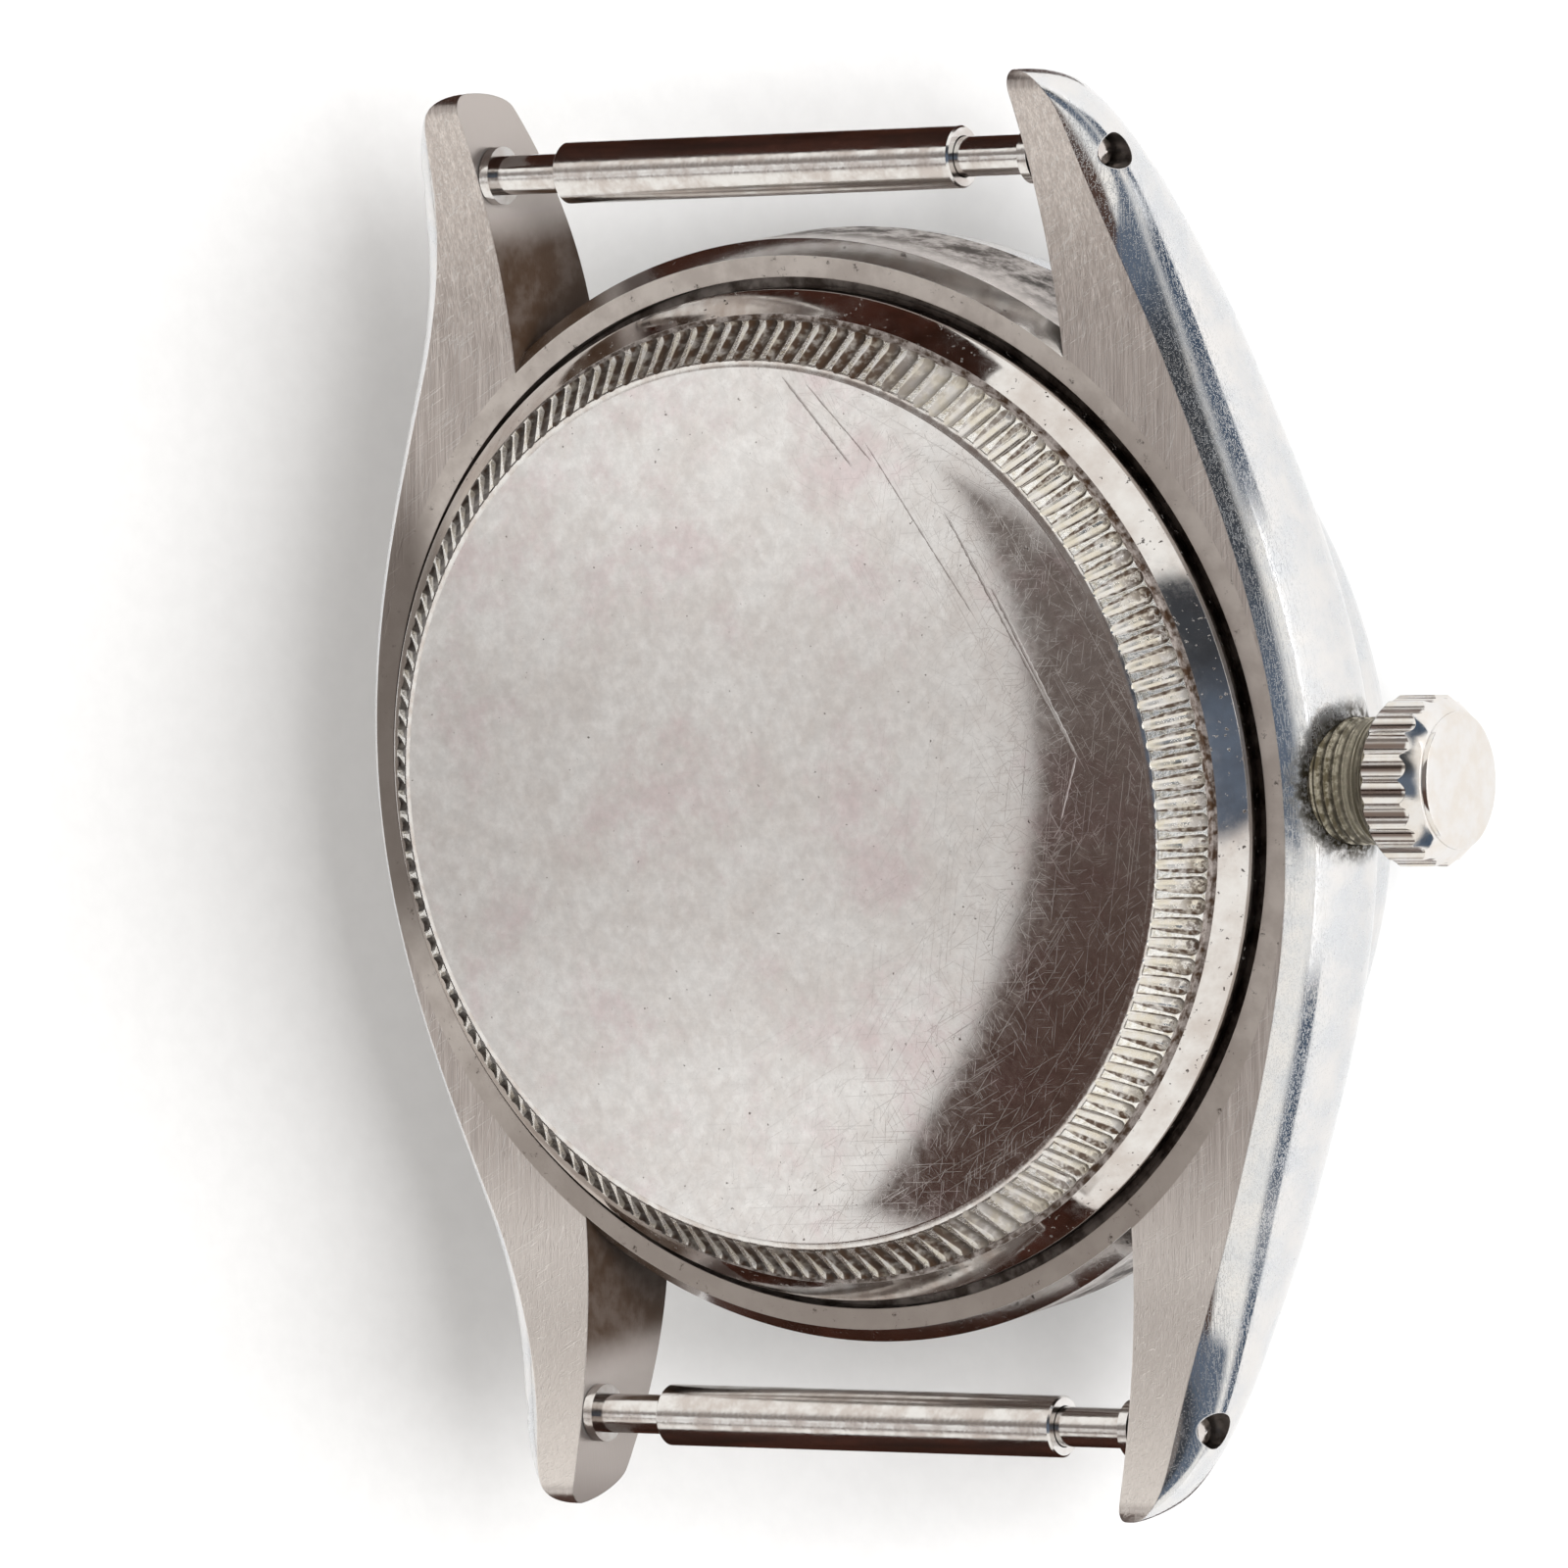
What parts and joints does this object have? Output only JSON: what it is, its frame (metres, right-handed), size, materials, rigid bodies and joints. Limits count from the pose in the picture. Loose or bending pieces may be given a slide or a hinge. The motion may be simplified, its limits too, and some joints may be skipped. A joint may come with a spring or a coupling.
{
  "type": "watch case with screwed back",
  "caption": "Round watch head seen from its screwed, coin-edged case back: curved lugs, sprung strap bars, fluted screw-down crown, crystal and a hand-wound movement inside.",
  "frame": {"origin": "on the case axis, at the crystal's flat top, which the watch rests on", "axes": "+Z out through the case back, +X to the crown at 3 o'clock, +Y to 6 o'clock"},
  "size_m": [0.037, 0.0418, 0.0113],
  "materials": {
    "polished_steel": "polished",
    "turned_steel": "satin",
    "case_steel": "brushed and polished",
    "crystal": "polished",
    "gasket": "matte",
    "dial": "satin",
    "plate_brass": "rhodium and brass",
    "wheel_brass": "polished",
    "blued_steel": "blued",
    "hard_steel": "fine ground",
    "jewel": "polished stone"
  },
  "bodies": {
    "case": {"middle_case": "case_steel", "bezel": "polished_steel", "crystal": "crystal", "crown_tube": "turned_steel", "tube_gasket": "gasket", "dial": "dial", "mainplate": "plate_brass", "barrel_bridge": "plate_brass", "train_bridge": "plate_brass", "pallet_bridge": "plate_brass", "balance_cock": "plate_brass", "bridge_screws": "blued_steel", "jewels": "jewel", "case_clamps": "hard_steel", "clamp_screws": "blued_steel", "click_spring": "hard_steel"},
    "gasket_body": {"back_gasket": "gasket"},
    "back": {"case_back": "turned_steel"},
    "winder": {"winding_pinion": "hard_steel"},
    "stem_body": {"stem": "hard_steel"},
    "crown_body": {"crown": "polished_steel", "crown_gasket": "gasket", "crown_spring": "hard_steel"},
    "slider": {"sliding_pinion": "hard_steel"},
    "lever": {"setting_lever": "hard_steel"},
    "yoke_body": {"yoke": "hard_steel"},
    "crown_wheels": {"crown_wheel": "hard_steel", "crown_wheel_core": "hard_steel"},
    "ratchet": {"ratchet_wheel": "hard_steel", "barrel_arbor": "hard_steel"},
    "click_body": {"click": "hard_steel"},
    "barrel_body": {"barrel": "wheel_brass", "mainspring": "hard_steel"},
    "centre": {"centre_wheel": "wheel_brass", "cannon_pinion": "hard_steel", "minute_hand": "polished_steel"},
    "third": {"third_wheel": "wheel_brass"},
    "fourth": {"fourth_wheel": "wheel_brass", "seconds_hand": "polished_steel"},
    "escape": {"escape_wheel": "hard_steel"},
    "fork": {"pallet_fork": "hard_steel"},
    "balance_body": {"balance": "wheel_brass", "hairspring": "blued_steel"},
    "minute_body": {"minute_wheel": "wheel_brass"},
    "hour": {"hour_wheel": "wheel_brass", "hour_hand": "polished_steel"},
    "setting_body": {"setting_wheel": "wheel_brass"},
    "bar_upper": {"spring_bar_upper": "turned_steel", "bar_spring_upper": "hard_steel"},
    "bar_lower": {"spring_bar_lower": "turned_steel", "bar_spring_lower": "hard_steel"},
    "tip_upper_left": {"bar_tip_upper_left": "turned_steel"},
    "tip_upper_right": {"bar_tip_upper_right": "turned_steel"},
    "tip_lower_left": {"bar_tip_lower_left": "turned_steel"},
    "tip_lower_right": {"bar_tip_lower_right": "turned_steel"}
  },
  "joints": [
    {"name": "back_rise", "type": "slide", "parent": "case", "child": "gasket_body", "axis": [0, 0, 1], "range_m": [0, 0.00136]},
    {"name": "back_turn", "type": "hinge", "parent": "gasket_body", "child": "back", "pos_m": [0, 0, 0.0078], "axis": [0, 0, 1], "range_deg": [0, 1080]},
    {"name": "crown_turn", "type": "hinge", "parent": "case", "child": "winder", "pos_m": [0.009, 0, 0.006], "axis": [1, 0, 0], "continuous": true},
    {"name": "crown_pull", "type": "slide", "parent": "winder", "child": "stem_body", "axis": [1, 0, 0], "range_m": [0, 0.00085]},
    {"name": "crown_screw", "type": "slide", "parent": "stem_body", "child": "crown_body", "axis": [1, 0, 0], "range_m": [-0.00085, 0], "deforming": ["crown_spring"]},
    {"name": "slider_shift", "type": "slide", "parent": "winder", "child": "slider", "axis": [1, 0, 0], "range_m": [-0.00086, 0]},
    {"name": "lever_swing", "type": "hinge", "parent": "case", "child": "lever", "pos_m": [0.0109, 0.0032, 0.0046], "axis": [0, 0, 1], "range_deg": [0, 16]},
    {"name": "yoke_swing", "type": "hinge", "parent": "case", "child": "yoke_body", "pos_m": [0.00782, -0.0033, 0.0046], "axis": [0, 0, 1], "range_deg": [0, 21]},
    {"name": "crown_wheel_turn", "type": "hinge", "parent": "case", "child": "crown_wheels", "pos_m": [0.00686, 0, 0.0082], "axis": [0, 0, 1], "continuous": true},
    {"name": "ratchet_turn", "type": "hinge", "parent": "case", "child": "ratchet", "pos_m": [0.00315, -0.00546, 0.0082], "axis": [0, 0, 1], "continuous": true},
    {"name": "click_rock", "type": "hinge", "parent": "case", "child": "click_body", "pos_m": [-0.00221, -0.00741, 0.00875], "axis": [0, 0, 1], "range_deg": [0, 15]},
    {"name": "seconds_turn", "type": "hinge", "parent": "case", "child": "fourth", "pos_m": [0, 0.007, 0.006], "axis": [0, 0, 1], "continuous": true},
    {"name": "third_turn", "type": "hinge", "parent": "case", "child": "third", "pos_m": [-0.00199, 0.00404, 0.007], "axis": [0, 0, 1], "continuous": true},
    {"name": "centre_turn", "type": "hinge", "parent": "case", "child": "centre", "pos_m": [0, 0, 0.007], "axis": [0, 0, 1], "continuous": true},
    {"name": "barrel_turn", "type": "hinge", "parent": "case", "child": "barrel_body", "pos_m": [0.00315, -0.00546, 0.0062], "axis": [0, 0, 1], "continuous": true},
    {"name": "escape_turn", "type": "hinge", "parent": "case", "child": "escape", "pos_m": [-0.0029, 0.00857, 0.007], "axis": [0, 0, 1], "continuous": true},
    {"name": "minute_wheel_turn", "type": "hinge", "parent": "case", "child": "minute_body", "pos_m": [0.0024, 0, 0.0048], "axis": [0, 0, 1], "continuous": true},
    {"name": "hour_turn", "type": "hinge", "parent": "case", "child": "hour", "pos_m": [0, 0, 0.0044], "axis": [0, 0, 1], "continuous": true},
    {"name": "setting_wheel_turn", "type": "hinge", "parent": "case", "child": "setting_body", "pos_m": [0.0052, 0, 0.0049], "axis": [0, 0, 1], "continuous": true},
    {"name": "fork_rock", "type": "hinge", "parent": "case", "child": "fork", "pos_m": [-0.00471, 0.00693, 0.0071], "axis": [0, 0, 1], "range_deg": [-5, 5]},
    {"name": "balance_swing", "type": "hinge", "parent": "case", "child": "balance_body", "pos_m": [-0.0073, 0.00457, 0.008], "axis": [0, 0, 1], "range_deg": [-270, 270]},
    {"name": "bar_upper_turn", "type": "hinge", "parent": "case", "child": "bar_upper", "pos_m": [0, 0.01837, 0.00863], "axis": [1, 0, 0], "continuous": true},
    {"name": "tip_upper_left_press", "type": "slide", "parent": "bar_upper", "child": "tip_upper_left", "axis": [1, 0, 0], "range_m": [0, 0.0022], "stiffness_N_per_m": 400, "springref_m": -0.002, "deforming": ["bar_spring_upper"]},
    {"name": "tip_upper_right_press", "type": "slide", "parent": "bar_upper", "child": "tip_upper_right", "axis": [-1, 0, 0], "range_m": [0, 0.0022], "stiffness_N_per_m": 400, "springref_m": -0.002, "deforming": ["bar_spring_upper"]},
    {"name": "bar_lower_turn", "type": "hinge", "parent": "case", "child": "bar_lower", "pos_m": [0, -0.01837, 0.00863], "axis": [1, 0, 0], "continuous": true},
    {"name": "tip_lower_left_press", "type": "slide", "parent": "bar_lower", "child": "tip_lower_left", "axis": [1, 0, 0], "range_m": [0, 0.0022], "stiffness_N_per_m": 400, "springref_m": -0.002, "deforming": ["bar_spring_lower"]},
    {"name": "tip_lower_right_press", "type": "slide", "parent": "bar_lower", "child": "tip_lower_right", "axis": [-1, 0, 0], "range_m": [0, 0.0022], "stiffness_N_per_m": 400, "springref_m": -0.002, "deforming": ["bar_spring_lower"]}
  ],
  "couplings": [
    {"joint": "back_rise", "follows": "back_turn", "m_per_rad": 0.00007162},
    {"joint": "slider_shift", "follows": "crown_pull", "ratio": -1},
    {"joint": "lever_swing", "follows": "crown_pull", "rad_per_m": 312.5},
    {"joint": "yoke_swing", "follows": "crown_pull", "rad_per_m": 416.67},
    {"joint": "crown_wheel_turn", "follows": "crown_turn", "ratio": -0.66667},
    {"joint": "ratchet_turn", "follows": "crown_turn", "ratio": 0.33333},
    {"joint": "third_turn", "follows": "seconds_turn", "ratio": -0.13333},
    {"joint": "centre_turn", "follows": "seconds_turn", "ratio": 0.016667},
    {"joint": "barrel_turn", "follows": "seconds_turn", "ratio": -0.0027778},
    {"joint": "escape_turn", "follows": "seconds_turn", "ratio": -10},
    {"joint": "minute_wheel_turn", "follows": "seconds_turn", "ratio": -0.0055556},
    {"joint": "hour_turn", "follows": "seconds_turn", "ratio": 0.0013889},
    {"joint": "setting_wheel_turn", "follows": "seconds_turn", "ratio": 0.01}
  ]
}
